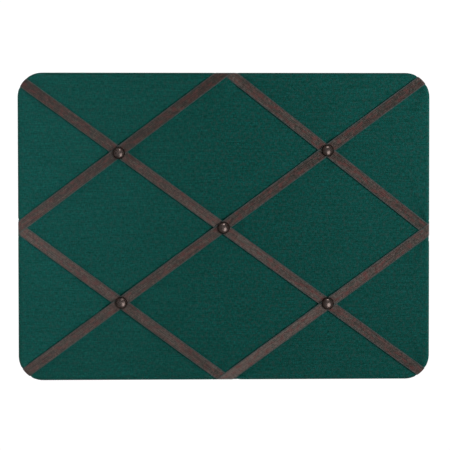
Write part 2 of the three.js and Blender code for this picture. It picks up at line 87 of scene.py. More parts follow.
# Levels and reaches read from the frame
cover_low, cover_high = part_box("cover_fabric")
HALF_WIDTH = cover_high.x
HALF_HEIGHT = cover_high.z
EDGE_Y = cover_low.y + PAD_CROWN
ROLL_Y = EDGE_Y + EDGE_ROLL
COVER_BACK_Y = cover_high.y
PIVOT_HEIGHT = RING_BORE + STRAP_SHEET


# Meshes

def grid_faces(rows, columns, first=0, around=False):
    """Four-cornered faces between neighbouring rows and columns of points, closed round if asked."""
    index = first + np.arange(rows * columns).reshape(rows, columns)
    if around:
        index = np.concatenate([index, index[:, :1]], axis=1)
    corners = [index[:-1, :-1], index[1:, :-1], index[1:, 1:], index[:-1, 1:]]
    return np.stack(corners, axis=-1).reshape(-1, 4)


def double_sheet(outer, inner):
    """Points and faces of a closed sheet: an outer and an inner grid, joined all round their borders."""
    rows, columns = outer.shape[:2]
    count = rows * columns
    index = np.arange(count).reshape(rows, columns)
    border = np.concatenate([index[0, :-1], index[:-1, -1], index[-1, :0:-1], index[:0:-1, 0]])
    onward = np.roll(border, -1)
    top = grid_faces(rows, columns)
    rim = np.stack([border, onward, onward + count, border + count], axis=1)
    points = np.concatenate([outer.reshape(-1, 3), inner.reshape(-1, 3)])
    return points, [np.concatenate([top, count + top[:, ::-1], rim])]


def turned_skin(first_pole, rings, last_pole):
    """Points and faces of a turned piece: a pole, closed rings of points in order, and another pole."""
    count, sides = rings.shape[:2]
    points = np.concatenate([first_pole[None], rings.reshape(-1, 3), last_pole[None]])
    near = 1 + np.arange(sides)
    far = near + (count - 1) * sides
    near_pole = np.zeros(sides, int)
    far_pole = np.full(sides, len(points) - 1)
    near_fan = np.stack([near_pole, near, np.roll(near, -1)], axis=1)
    far_fan = np.stack([far_pole, np.roll(far, -1), far], axis=1)
    return points, [grid_faces(count, sides, 1, True), np.concatenate([near_fan, far_fan])]


def enclosed_volume(points, faces):
    """Volume inside the faces, each cut into a fan: a third of the dot of its corners' triple product."""
    total = 0.0
    for group in faces:
        for corner in range(1, group.shape[1] - 1):
            one, two, three = points[group[:, 0]], points[group[:, corner]], points[group[:, corner + 1]]
            total += np.einsum("ij,ij->", one, np.cross(two, three)) / 6
    return total


SHARP_EDGE = np.radians(50)


def make_piece(name, skin, slot, body, replaced, lie=None):
    """One closed piece with its faces outwards, on its body, in place of the CAD node that it stands for.

    Its finish is its slot's. lie holds a vector a point, for a finish whose pattern follows the piece.
    """
    points, faces = skin
    if enclosed_volume(points, faces) < 0:
        faces = [group[:, ::-1] for group in faces]
    corners = np.concatenate([group.ravel() for group in faces])
    sizes = np.concatenate([np.full(len(group), group.shape[1]) for group in faces])
    mesh = bpy.data.meshes.new(name)
    mesh.vertices.add(len(points))
    mesh.vertices.foreach_set("co", points.astype(np.float32).ravel())
    mesh.loops.add(len(corners))
    mesh.loops.foreach_set("vertex_index", corners.astype(np.int32))
    mesh.polygons.add(len(sizes))
    mesh.polygons.foreach_set("loop_start", (np.cumsum(sizes) - sizes).astype(np.int32))
    mesh.update(calc_edges=True)
    mesh.shade_smooth()
    mesh.set_sharp_from_angle(angle=SHARP_EDGE)
    if lie is not None:
        layer = mesh.attributes.new("lie", "FLOAT_VECTOR", "POINT")
        layer.data.foreach_set("vector", lie.astype(np.float32).ravel())
    mesh.materials.append(FINISHES[slot])
    piece = bpy.data.objects.new(name, mesh)
    bpy.context.scene.collection.objects.link(piece)
    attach(piece, body)
    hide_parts(replaced)
    return piece


# Finishes

THREAD_PITCH = 0.55 * MM
SELVEDGE_FROM = 3.6 * MM
SELVEDGE_TO = 4.2 * MM

# Places of the mix node's colour sockets
MIX_ONE = 6
MIX_TWO = 7
MIX_RESULT = 2


class Finish:
    """One procedural material, with short calls for the nodes that it needs."""

    def __init__(self, name, **settings):
        self.material = bpy.data.materials.new(name)
        self.material.use_nodes = True
        self.tree = self.material.node_tree
        self.shader = self.tree.nodes["Principled BSDF"]
        for socket, value in settings.items():
            self.shader.inputs[socket.replace("_", " ")].default_value = value

    def put(self, node, socket, value):
        """Links an output to a node's input, or sets a plain number there."""
        if isinstance(value, bpy.types.NodeSocket):
            self.tree.links.new(value, node.inputs[socket])
        else:
            node.inputs[socket].default_value = value

    def drive(self, socket, value):
        self.put(self.shader, socket, value)

    def lie(self):
        """The vector that each point of the piece holds."""
        node = self.tree.nodes.new("ShaderNodeAttribute")
        node.attribute_name = "lie"
        return node.outputs["Vector"]

    def place(self):
        return self.tree.nodes.new("ShaderNodeTexCoord").outputs["Object"]

    def parts(self, vector):
        node = self.tree.nodes.new("ShaderNodeSeparateXYZ")
        self.put(node, "Vector", vector)
        return node.outputs

    def math(self, operation, one, two=0.0):
        node = self.tree.nodes.new("ShaderNodeMath")
        node.operation = operation
        self.put(node, 0, one)
        self.put(node, 1, two)
        return node.outputs[0]

    def scaled(self, vector, factors):
        node = self.tree.nodes.new("ShaderNodeVectorMath")
        node.operation = "MULTIPLY"
        self.put(node, 0, vector)
        self.put(node, 1, factors)
        return node.outputs[0]

    def noise(self, vector, scale, detail=2.0, roughness=0.5):
        node = self.tree.nodes.new("ShaderNodeTexNoise")
        self.put(node, "Vector", vector)
        self.put(node, "Scale", scale)
        self.put(node, "Detail", detail)
        self.put(node, "Roughness", roughness)
        return node.outputs[0]

    def cells(self, vector, scale):
        node = self.tree.nodes.new("ShaderNodeTexVoronoi")
        self.put(node, "Vector", vector)
        self.put(node, "Scale", scale)
        return node.outputs["Distance"]

    def remap(self, value, low, high, to_low=0.0, to_high=1.0):
        node = self.tree.nodes.new("ShaderNodeMapRange")
        for socket, number in enumerate([value, low, high, to_low, to_high]):
            self.put(node, socket, number)
        return node.outputs[0]

    def shades(self, factor, *stops):
        """A colour ramp: each stop is a place from 0 to 1 and a colour."""
        node = self.tree.nodes.new("ShaderNodeValToRGB")
        self.put(node, "Fac", factor)
        marks = node.color_ramp.elements
        while len(marks) < len(stops):
            marks.new(1.0)
        for mark, (place, colour) in zip(marks, stops):
            mark.position = place
            mark.color = (*colour, 1.0)
        return node.outputs["Color"]

    def blend(self, factor, one, two):
        """A mix of two colours, by the mix node's colour sockets."""
        node = self.tree.nodes.new("ShaderNodeMix")
        node.data_type = "RGBA"
        self.put(node, "Factor", factor)
        self.put(node, MIX_ONE, one)
        self.put(node, MIX_TWO, two)
        return node.outputs[MIX_RESULT]

    def bump(self, height, strength, distance):
        node = self.tree.nodes.new("ShaderNodeBump")
        self.put(node, "Height", height)
        self.put(node, "Strength", strength)
        self.put(node, "Distance", distance)
        self.drive("Normal", node.outputs["Normal"])


def cover_cloth():
    """Plain-woven cloth: crossed threads with slubs along both ways, and small faded spots.

    lie is the point's place in the flat sheet.
    """
    finish = Finish("green plain weave", Roughness=0.9, Specular_IOR_Level=0.06)
    lie = finish.lie()
    across, up, _ = finish.parts(lie)
    thread = np.pi / THREAD_PITCH
    warp = finish.math("SINE", finish.math("MULTIPLY", across, thread))
    weft = finish.math("SINE", finish.math("MULTIPLY", up, thread))
    over = finish.math("MULTIPLY", warp, weft)
    weft_slub = finish.noise(finish.scaled(lie, (270, 1200, 1)), 1.0, 3.0, 0.6)
    warp_slub = finish.noise(finish.scaled(lie, (1200, 330, 1)), 1.0, 3.0, 0.6)
    slubs = finish.math("ADD", weft_slub, warp_slub)
    thick_weft = finish.noise(finish.scaled(lie, (28, 1150, 1)), 1.0, 2.0)
    tone = finish.math("ADD", slubs, finish.math("MULTIPLY", over, 0.12))
    tone = finish.math("ADD", tone, finish.math("MULTIPLY", thick_weft, 0.5))
    dyed = finish.shades(
        finish.remap(tone, 0.92, 1.58),
        (0.0, (0.0018, 0.0288, 0.0200)),
        (0.5, (0.0033, 0.0528, 0.0428)),
        (1.0, (0.0074, 0.0864, 0.0783)),
    )
    faded = finish.remap(finish.noise(lie, 330.0, 2.0, 0.6), 0.47, 0.72, 0.0, 0.66)
    finish.drive("Base Color", finish.blend(faded, dyed, (0.0193, 0.0500, 0.0449, 1.0)))
    height = finish.math("ADD", finish.math("ABSOLUTE", over), slubs)
    finish.bump(height, 0.35, 0.25 * MM)
    return finish.material


def ribbon_weave():
    """Ribbed ribbon: darker between its cross ribs as painted shade, greyer at both selvedges, with warm and cool
    flecks.

    lie is the place along the ribbon, the place across it, and the rib's height plus the ribbon's
    painted sheen and shade.
    """
    finish = Finish("brown grosgrain", Roughness=0.5, Specular_IOR_Level=0.35)
    lie = finish.lie()
    _, aside, rib = finish.parts(lie)
    fleck = finish.noise(finish.scaled(lie, (560, 620, 1)), 1.0, 2.0)
    streak = finish.noise(finish.scaled(lie, (25, 900, 1)), 1.0, 2.0)
    # The rib's share paints shade in the troughs between the ribs.
    tone = finish.math("ADD", finish.math("MULTIPLY", rib, 0.2), finish.math("MULTIPLY", streak, 0.32))
    tone = finish.math("ADD", tone, finish.math("MULTIPLY", fleck, 0.5))
    body = finish.shades(
        finish.remap(tone, 0.36, 0.66),
        (0.0, (0.0114, 0.0086, 0.0072)),
        (0.5, (0.0387, 0.0290, 0.0249)),
        (1.0, (0.1180, 0.0890, 0.0785)),
    )
    warm = finish.remap(finish.noise(finish.scaled(lie, (170, 360, 1)), 1.0, 1.0), 0.5, 0.66, 0.0, 0.72)
    cool = finish.remap(finish.noise(finish.scaled(lie, (220, 280, 3)), 1.3, 1.0), 0.53, 0.68, 0.0, 0.6)
    body = finish.blend(warm, body, (0.100, 0.027, 0.025, 1.0))
    body = finish.blend(cool, body, (0.024, 0.048, 0.038, 1.0))
    selvedge = finish.remap(finish.math("ABSOLUTE", aside), SELVEDGE_FROM, SELVEDGE_TO)
    # A paler, greyer colour along both selvedges.
    pale_selvedge_colour = finish.shades(fleck, (0.3, (0.025, 0.036, 0.035)), (0.7, (0.050, 0.064, 0.062)))
    finish.drive("Base Color", finish.blend(selvedge, body, pale_selvedge_colour))
    finish.bump(finish.math("ADD", fleck, streak), 0.25, 0.2 * MM)
    return finish.material


def aged_bronze():
    """Dark bronze: paler towards the dome's top as wear, near-black towards its rim as patina and painted shade.

    lie starts with the point's height on the dome, from 0 at the rim to 1 at the top.
    """
    finish = Finish("antique bronze", Metallic=1.0, Roughness=0.3)
    wear_and_rim_shade, _, _ = finish.parts(finish.lie())
    mottle = finish.noise(finish.place(), 900.0, 4.0, 0.65)
    patina_and_rim_shade = finish.math("ADD", wear_and_rim_shade, finish.math("MULTIPLY", mottle, 0.5))
    # The near-black first stop paints shade at the dome's rim; the pale last stop is wear at the top.
    finish.drive("Base Color", finish.shades(
        finish.remap(patina_and_rim_shade, 0.45, 1.3),
        (0.0, (0.014, 0.011, 0.010)),
        (0.35, (0.100, 0.068, 0.058)),
        (1.0, (0.380, 0.290, 0.265)),
    ))
    finish.drive("Roughness", finish.remap(mottle, 0.3, 0.7, 0.2, 0.36))
    finish.bump(mottle, 0.12, 0.15 * MM)
    return finish.material


def fibre_board():
    """Wood-fibre board: short tangled fibres and darker chips."""
    finish = Finish("wood fibre board", Roughness=0.85)
    place = finish.place()
    fibres = finish.noise(finish.scaled(place, (400, 400, 1400)), 1.0, 4.0, 0.7)
    chips = finish.cells(place, 320.0)
    finish.drive("Base Color", finish.shades(
        finish.math("ADD", finish.math("MULTIPLY", fibres, 0.7), finish.math("MULTIPLY", chips, 0.3)),
        (0.25, (0.17, 0.105, 0.060)),
        (0.7, (0.36, 0.245, 0.150)),
    ))
    finish.bump(fibres, 0.25, 0.3 * MM)
    return finish.material


def open_foam():
    """Pale foam with open cells of about two millimetres, darker in each cell's hollow as painted shade."""
    finish = Finish("cream foam", Roughness=0.95, Sheen_Weight=0.1)
    cells = finish.cells(finish.place(), 520.0)
    # Darker towards each cell's middle, where the bump sinks: painted shade in the hollows.
    finish.drive("Base Color", finish.shades(cells, (0.1, (0.56, 0.50, 0.36)), (0.7, (0.78, 0.73, 0.58))))
    finish.bump(cells, 0.5, 0.5 * MM)
    return finish.material


def hard_board():
    """Pressed hardboard: a smooth brown face with dark fibres and a faint sheen."""
    finish = Finish("brown hardboard", Roughness=0.55)
    place = finish.place()
    fibres = finish.noise(finish.scaled(place, (900, 900, 260)), 1.0, 5.0, 0.7)
    cloud = finish.noise(place, 22.0, 3.0)
    tone = finish.math("ADD", finish.math("MULTIPLY", fibres, 0.75), finish.math("MULTIPLY", cloud, 0.35))
    finish.drive("Base Color", finish.shades(
        tone,
        (0.3, (0.075, 0.040, 0.020)),
        (0.55, (0.150, 0.085, 0.045)),
        (0.8, (0.235, 0.150, 0.085)),
    ))
    finish.drive("Roughness", finish.remap(fibres, 0.3, 0.7, 0.45, 0.7))
    finish.bump(fibres, 0.2, 0.2 * MM)
    return finish.material


def zinc_steel():
    """Bright zinc on steel: a grey metal with fine drawn scratches and dull patches."""
    finish = Finish("zinc-plated steel", Metallic=1.0, Roughness=0.35)
    place = finish.place()
    dull = finish.noise(place, 420.0, 4.0, 0.6)
    scratch = finish.noise(finish.scaled(place, (2600, 2600, 300)), 1.0, 2.0)
    finish.drive("Base Color", finish.shades(dull, (0.3, (0.40, 0.41, 0.41)), (0.7, (0.66, 0.67, 0.66))))
    finish.drive("Roughness", finish.remap(dull, 0.3, 0.7, 0.26, 0.48))
    finish.bump(scratch, 0.1, 0.05 * MM)
    return finish.material


FINISHES = {
    "cover_cloth": cover_cloth(),
    "ribbon": ribbon_weave(),
    "nail_bronze": aged_bronze(),
    "backer": fibre_board(),
    "foam": open_foam(),
    "panel_board": hard_board(),
    "steel": zinc_steel(),
}

for subpart in frame["record"]["subparts"]:
    node_mesh = frame["nodes"][subpart["node"]].data
    node_mesh.materials.clear()
    node_mesh.materials.append(FINISHES[subpart["material_slot"]])


# Easing curves

def smooth_step(share):
    """From 0 to 1 with level ends: three squares less two cubes of the share, which is kept in bounds."""
    share = np.clip(share, 0, 1)
    return share * share * (3 - 2 * share)


def bell_rise(distance, reach):
    """From 0 to 1 with distance: one less a bell curve, so that it starts and ends level."""
    return 1 - np.exp(-((np.maximum(distance, 0) / reach) ** 2))


# The ways over the board's edge

def over_edge(run, sink, back_roll, back_y):
    """How a sheet turns over the board's edge, from how far a point of it lies past the front's flat.

    It goes round a quarter circle, straight down the wall, round a tighter quarter circle, and in along
    the back. sink is how deep it lies in the pad. Gives the point's inset from the board's outline, its
    level, the outward and backward shares of its normal, and its distance along the back.
    """
    roll = EDGE_ROLL - sink
    front_arc = QUARTER * roll
    wall = back_y - back_roll - ROLL_Y
    back_arc = QUARTER * back_roll
    front_turn = np.clip(run, 0, front_arc) / roll
    down = np.clip(run - front_arc, 0, wall)
    back_turn = np.clip(run - front_arc - wall, 0, back_arc) / back_roll
    tail = np.maximum(run - front_arc - wall - back_arc, 0)
    inset = EDGE_ROLL - np.minimum(run, 0) - roll * np.sin(front_turn)
    inset = inset + back_roll * (1 - np.cos(back_turn)) + tail
    level = ROLL_Y - roll * np.cos(front_turn) + down + back_roll * np.sin(back_turn)
    outward = np.sin(front_turn) * np.cos(back_turn)
    backward = np.sin(back_turn) - np.cos(front_turn)
    return inset, level, outward, backward, tail


def edge_run(sink, back_roll, back_y):
    """Length of the way over the edge, from the front's flat to where the back starts."""
    return QUARTER * (EDGE_ROLL - sink) + back_y - back_roll - ROLL_Y + QUARTER * back_roll


def rounded_plan(across, up, half_width, half_height, radius):
    """Where the points of a flat sheet lie over a rounded rectangle.

    Past the core, which is the rectangle less its corner radius, a point keeps its distance, and each
    corner's square of sheet is gathered into a quarter disc. Gives the core point, the reach past it
    and the outward direction.
    """
    core_x = np.clip(across, radius - half_width, half_width - radius)
    core_z = np.clip(up, radius - half_height, half_height - radius)
    beyond_x = np.abs(across - core_x)
    beyond_z = np.abs(up - core_z)
    reach = np.maximum(beyond_x, beyond_z)
    share = np.minimum(beyond_x, beyond_z) / np.maximum(reach, TINY)
    turn = np.where(beyond_x >= beyond_z, share * QUARTER / 2, QUARTER - share * QUARTER / 2)
    return core_x, core_z, reach, np.sign(across) * np.cos(turn), np.sign(up) * np.sin(turn)


# The ribbons' lines, in plan

RIBBON_CLOTH = 0.7 * MM
RIBBON_BED = 0.7 * MM
EDGE_BED = 0.1 * MM
RIBBON_CURL = 0.27 * MM
DRAWN_FLAT = 0.3
DRAWN_REACH = 10 * MM
CROSSED_DIP = 0.85 * MM
CROSSED_HALF = 7 * MM
CROSSED_EASE = 9 * MM
LAPPED_END = 5 * MM
NAILS = ("upper_left", "upper_right", "centre", "lower_left", "lower_right")
nail_boxes = [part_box("nail_cap_" + nail) for nail in NAILS]
nail_places = np.array([(low + high) / 2 for low, high in nail_boxes])


class Ribbon:
    """A ribbon's centre line from one end to the other, and how deep it lies in the pad.

    One that goes under others dips where they cross it: at the nails on it, and at both its ends if
    these are at the edges' middles. shades are its painted sheen and shade, lighter and darker where
    light falls, at its start, its middle and its end. It turns at the board's back edge about the same
    level as the cloth does.
    """

    def __init__(self, name, start, end, shades, under):
        self.name = name
        self.shades = shades
        self.ends = (start, end)
        self.start = start["at"]
        self.length = np.linalg.norm(end["at"] - self.start)
        self.direction = (end["at"] - self.start) / self.length
        self.across = np.array([-self.direction[1], self.direction[0]])
        self.tail_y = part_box("ribbon_" + name)[1].y - RIBBON_SOLID
        self.back_roll = self.tail_y - COVER_BACK_Y + BACK_ROLL
        self.over_corners = "arc_centre" in start
        to_nails = nail_places[:, [0, 2]] - self.start
        crossed = (to_nails @ self.direction)[np.abs(to_nails @ self.across) < RIBBON_WIDTH / 2]
        laps = [] if self.over_corners else [LAPPED_END, self.length - LAPPED_END]
        self.crossed = np.concatenate([crossed, laps]) if under else np.array([])

    def on_front(self, along):
        """From 0 at the board's edge, smoothly, to 1 on the front."""
        return smooth_step((np.minimum(along, self.length - along) - LAPPED_END) / DRAWN_REACH)

    def loose(self, along):
        """Share of its height that the ribbon keeps: all on the front, less where it is drawn flat."""
        return DRAWN_FLAT + (1 - DRAWN_FLAT) * self.on_front(along)

    def sink(self, along):
        """Depth of the inner face: a bed, shallower at the edge, and a smooth dip at each crossing."""
        inside = np.clip(along, LAPPED_END, self.length - LAPPED_END)
        dip = 0 * inside
        for crossing in self.crossed:
            share = smooth_step(1 - (np.abs(inside - crossing) - CROSSED_HALF) / CROSSED_EASE)
            dip = np.maximum(dip, CROSSED_DIP * share)
        bed = EDGE_BED + (RIBBON_BED - EDGE_BED) * self.on_front(along)
        return bed + dip * self.loose(along)

    def painted_sheen_and_shade(self, along):
        """How much paler it is painted, as sheen and shade, from its start by its middle to its end."""
        return np.interp(along, (0, self.length / 2, self.length), self.shades)

    def over_end(self, along):
        """Length of the way over the edge at the end that is nearer to a place along the ribbon."""
        return edge_run(self.sink(along), self.back_roll, self.tail_y)

    def beside(self, across, up, plan_x, plan_z):
        """Place along and distance from the centre line: in plan at corners, in the sheet at edges."""
        x, z = (plan_x, plan_z) if self.over_corners else (across, up)
        x, z = x - self.start[0], z - self.start[1]
        along = x * self.direction[0] + z * self.direction[1]
        return along, np.abs(x * self.across[0] + z * self.across[1])


def edge_end(side_x, side_z, drift):
    """A line's end at the middle of an edge, so far along that edge."""
    outward = np.array([side_x, side_z], float)
    at = outward * (HALF_WIDTH, HALF_HEIGHT) + np.abs(outward[::-1]) * drift * MM
    return {"at": at, "outward": outward}


def corner_end(side_x, side_z, drift):
    """A line's end at a corner, so far down its side."""
    side = np.array([side_x, side_z], float)
    half = np.array([HALF_WIDTH, HALF_HEIGHT])
    return {"at": side * (half - (0, drift * MM)), "arc_centre": side * (half - CORNER_RADIUS)}


RIBBONS = [
    # The three numbers after its ends paint sheen and shade along each ribbon, where light falls.
    Ribbon("main_falling", corner_end(-1, 1, 5.3), corner_end(1, -1, 1.2), (-0.55, 0.3, -0.2), under=True),
    Ribbon("upper_right", edge_end(0, 1, 4.3), edge_end(1, 0, -4.9), (0.1, -0.05, -0.2), under=True),
    Ribbon("lower_left", edge_end(-1, 0, -0.8), edge_end(0, -1, 1.3), (0.2, 0.1, 0.05), under=True),
    Ribbon("main_rising", corner_end(-1, -1, 2.2), corner_end(1, 1, 1.4), (0.1, -0.05, -0.35), under=False),
    Ribbon("upper_left", edge_end(-1, 0, -1.1), edge_end(0, 1, -0.5), (0.0, -0.25, -0.5), under=False),
    Ribbon("lower_right", edge_end(0, -1, -0.2), edge_end(1, 0, -2.8), (0.75, 0.3, -0.1), under=False),
]


# The stretched cover and the pad under it

PILLOW_SWELL = 0.35 * MM
EDGE_SWELL = 0.2 * MM
UNDER_RIBBON = 0.3 * MM
SHOULDER = 1.2 * MM
SOFT_JOIN = 0.1 * MM
PILLOW_RISE = 20 * MM
WALL_RISE = 1.5 * MM
EDGE_EASE = 10 * MM
PRESS_FADE = 3 * MM
PLEAT_RISE = 0.35 * MM
PLEATS = 5


def pad_swell(across, up, plan_x, plan_z, run):
    """How far the stuffed cloth stands out from the pad's plain form.

    A ribbon holds the cloth down at its own depth, and past its side the cloth rises to the pillow's
    height, slowly on the front and at once on the walls. The edge holds it in the same way. The lowest
    of these forms counts, with a soft join.
    """
    forms = [EDGE_SWELL + (PILLOW_SWELL - EDGE_SWELL) * bell_rise(-run, PILLOW_RISE)]
    front = bell_rise(-run, EDGE_EASE)
    reach = WALL_RISE + (PILLOW_RISE - WALL_RISE) * front
    for ribbon in RIBBONS:
        along, aside = ribbon.beside(across, up, plan_x, plan_z)
        depth = ribbon.sink(along) + UNDER_RIBBON * ribbon.loose(along)
        rise = bell_rise(aside - RIBBON_WIDTH / 2 + RIBBON_CURL - SHOULDER * front, reach)
        forms.append((PILLOW_SWELL + depth) * rise - depth)
    return -SOFT_JOIN * np.log(np.exp(-np.stack(forms) / SOFT_JOIN).sum(axis=0))


def cover_points(across, up, skin):
    """Points of the stretched cloth over its unfolded sheet, so far under its outer face.

    The sheet lies over the pad's plain form, which the edge turns back, and swells along its normal.
    Pleats gather on the back of each corner: the square of a sine of the corner's angle.
    """
    plan = rounded_plan(across, up, HALF_WIDTH, HALF_HEIGHT, CORNER_RADIUS)
    core_x, core_z, reach, out_x, out_z = plan
    run = reach - (CORNER_RADIUS - EDGE_ROLL)
    inset, level, outward, backward, tail = over_edge(run, 0, BACK_ROLL, COVER_BACK_Y)
    plan_x = core_x + out_x * (CORNER_RADIUS - inset)
    plan_z = core_z + out_z * (CORNER_RADIUS - inset)
    fade = smooth_step(1 - tail / PRESS_FADE)
    turn = 2 * np.arctan2(np.abs(out_z), np.abs(out_x))
    pleats = PLEAT_RISE * np.sin(PLEATS * turn) ** 2 * np.sin(turn) * np.clip(backward, 0, 1)
    lift = fade * pad_swell(across, up, plan_x, plan_z, run) + pleats - skin
    plan_x = plan_x + out_x * outward * lift
    plan_z = plan_z + out_z * outward * lift
    return np.stack([plan_x, level + backward * lift, plan_z], axis=-1)


def mirrored(lines):
    """Grid lines on both sides of the middle, from those on one side of it."""
    return np.concatenate([-lines[::-1], lines])


def pad_lines(half, pitch, past):
    """Grid lines of a sheet: so far apart across the flat of the front, and then at each run past it."""
    flat = half - EDGE_ROLL
    count = int(round(flat / pitch))
    return mirrored(np.concatenate([(np.arange(count) + 0.5) * flat / count, flat + past]))


COVER_PITCH = 1.85 * MM
ROLL_LINES = 9
WALL_LINES = 7
TURN_LINES = 5
MARGIN_LINES = 8
COVER_ROLL = QUARTER * EDGE_ROLL
COVER_WALL = COVER_BACK_Y - BACK_ROLL - ROLL_Y
COVER_RUN = edge_run(0, BACK_ROLL, COVER_BACK_Y)
COVER_TAIL = CLOTH_MARGIN - BACK_ROLL
cover_past = np.concatenate([
    np.linspace(0, COVER_ROLL, ROLL_LINES),
    COVER_ROLL + np.linspace(0, COVER_WALL, WALL_LINES)[1:],
    np.linspace(COVER_ROLL + COVER_WALL, COVER_RUN, TURN_LINES)[1:],
    COVER_RUN + np.linspace(0, COVER_TAIL, MARGIN_LINES)[1:],
])
cover_across, cover_up = np.meshgrid(
    pad_lines(HALF_WIDTH, COVER_PITCH, cover_past),
    pad_lines(HALF_HEIGHT, COVER_PITCH, cover_past),
    indexing="ij",
)
cover_flat = np.stack([cover_across, cover_up, 0 * cover_up], axis=-1).reshape(-1, 3)
cover = make_piece(
    "cover",
    double_sheet(
        cover_points(cover_across, cover_up, 0),
        cover_points(cover_across, cover_up, CLOTH_THICKNESS),
    ),
    "cover_cloth",
    "board",
    "cover_fabric",
    lie=np.concatenate([cover_flat, cover_flat]),
)

FOAM_PITCH = 5 * MM
FOAM_POCKET_INSET = 4.8 * MM
FOAM_EDGE_LINES = 9
FOAM_LINES_DOWN = 3
POCKET_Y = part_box("backer_board")[0].y - LAY_GAP
POCKET_WALL = ROLL_Y + COVER_WALL - POCKET_Y
foam_past = np.linspace(0, COVER_ROLL + COVER_WALL, FOAM_EDGE_LINES)
foam_across, foam_up = np.meshgrid(
    pad_lines(HALF_WIDTH, FOAM_PITCH, foam_past),
    pad_lines(HALF_HEIGHT, FOAM_PITCH, foam_past),
    indexing="ij",
)


def foam_pocket(across, up):
    """The pocket's skin: the backer's flat bed, and a wall down to the foam's back at the outer lines."""
    plan = rounded_plan(across, up, HALF_WIDTH, HALF_HEIGHT, CORNER_RADIUS)
    core_x, core_z, reach, out_x, out_z = plan
    run = reach - (CORNER_RADIUS - EDGE_ROLL)
    bed = np.minimum(reach, CORNER_RADIUS - FOAM_POCKET_INSET)
    wall_from, wall_to = foam_past[[-FOAM_LINES_DOWN, -1]]
    down = np.clip((run - wall_from) / (wall_to - wall_from), 0, 1)
    level = POCKET_Y + POCKET_WALL * down
    return np.stack([core_x + out_x * bed, level, core_z + out_z * bed], axis=-1)


foam = make_piece(
    "foam",
    double_sheet(
        cover_points(foam_across, foam_up, CLOTH_THICKNESS + LAY_GAP),
        foam_pocket(foam_across, foam_up),
    ),
    "foam",
    "board",
    "foam_pad",
)


# The ribbons, woven with cross ribs and a bead along each selvedge

RIB_PITCH = 1.1 * MM
STEPS_A_RIB = 4
RIB_RISE = 0.1 * MM
SELVEDGE_WIDTH = 0.5 * MM
SELVEDGE_RISE = 0.1 * MM
SELVEDGE_ROUND = 0.1 * MM
PATTERN_SHIFT = 182 * MM
RIBBON_SIDE = RIBBON_WIDTH / 2 - RIBBON_CURL
RIBBON_LINES = mirrored(RIBBON_SIDE - np.array([4.4, 3.6, 2.8, 2, 1.3, 0.8, 0.5, 0.15, 0]) * MM)


def ribbon_relief(along, aside):
    """Relief of a ribbon: cross ribs, a raised cosine along it, and a half-sine bead on each selvedge.

    Gives the rib's height as a share, the rise of the outer face, which falls to nothing at the side,
    and the curl of the inner face under the selvedge.
    """
    from_side = RIBBON_SIDE - np.abs(aside)
    on_selvedge = from_side < SELVEDGE_WIDTH
    bead = np.clip(from_side / SELVEDGE_WIDTH, 0, 1)
    rib = np.where(on_selvedge, 1, 0.5 + 0.5 * np.cos(4 * QUARTER * along / RIB_PITCH))
    edging = SELVEDGE_RISE * np.sin(2 * QUARTER * bead) + RIB_RISE / 2
    rise = np.where(on_selvedge, edging, RIB_RISE * rib) * np.clip(from_side / SELVEDGE_ROUND, 0, 1)
    return rib, rise, RIBBON_CURL * (1 - bead)


def ribbon_points(ribbon, along, aside, lift):
    """Points of a ribbon that lies flat across the front and folds over the edge at both its ends.

    At an edge it stays straight in the unfolded sheet. At a corner it folds round the corner's arc and
    comes back along its own line. Each half is worked out from its own end.
    """
    flat = ribbon.start + along[..., None] * ribbon.direction + aside[..., None] * ribbon.across
    halves = []
    for end, heading in zip(ribbon.ends, (-1, 1)):
        if ribbon.over_corners:
            outward_way = heading * ribbon.direction
            from_start = end["arc_centre"] - ribbon.start
            sideways = aside - from_start @ ribbon.across
            ahead = from_start @ outward_way + np.sqrt(CORNER_RADIUS**2 - sideways**2)
            reached = heading * along
        else:
            outward_way = end["outward"]
            ahead = end["at"] @ outward_way
            reached = flat @ outward_way
        run = reached - (ahead - EDGE_ROLL)
        sink = ribbon.sink(along)
        inset, level, outward, backward, _ = over_edge(run, sink, ribbon.back_roll, ribbon.tail_y)
        shift = ahead - inset - reached + lift * outward
        plan = flat + shift[..., None] * outward_way
        halves.append(np.stack([plan[..., 0], level + lift * backward, plan[..., 1]], axis=-1))
    return np.where((along < ribbon.length / 2)[..., None], *halves)


def ribbon_reach(ribbon, heading):
    """How far along its line a ribbon's tail ends, folded flat."""
    end = ribbon.ends[(heading + 1) // 2]
    over = ribbon.over_end(heading * ribbon.length)
    outward_way = heading * ribbon.direction
    if ribbon.over_corners:
        from_start = end["arc_centre"] - ribbon.start
        sideways = from_start @ ribbon.across
        edge = from_start @ outward_way + np.sqrt(CORNER_RADIUS**2 - sideways**2)
        return heading * (edge - EDGE_ROLL + over + RIBBON_TAIL)
    speed = outward_way @ end["outward"]
    edge = (end["at"] - ribbon.start) @ outward_way
    return heading * (edge + (over - EDGE_ROLL) / speed + RIBBON_TAIL)


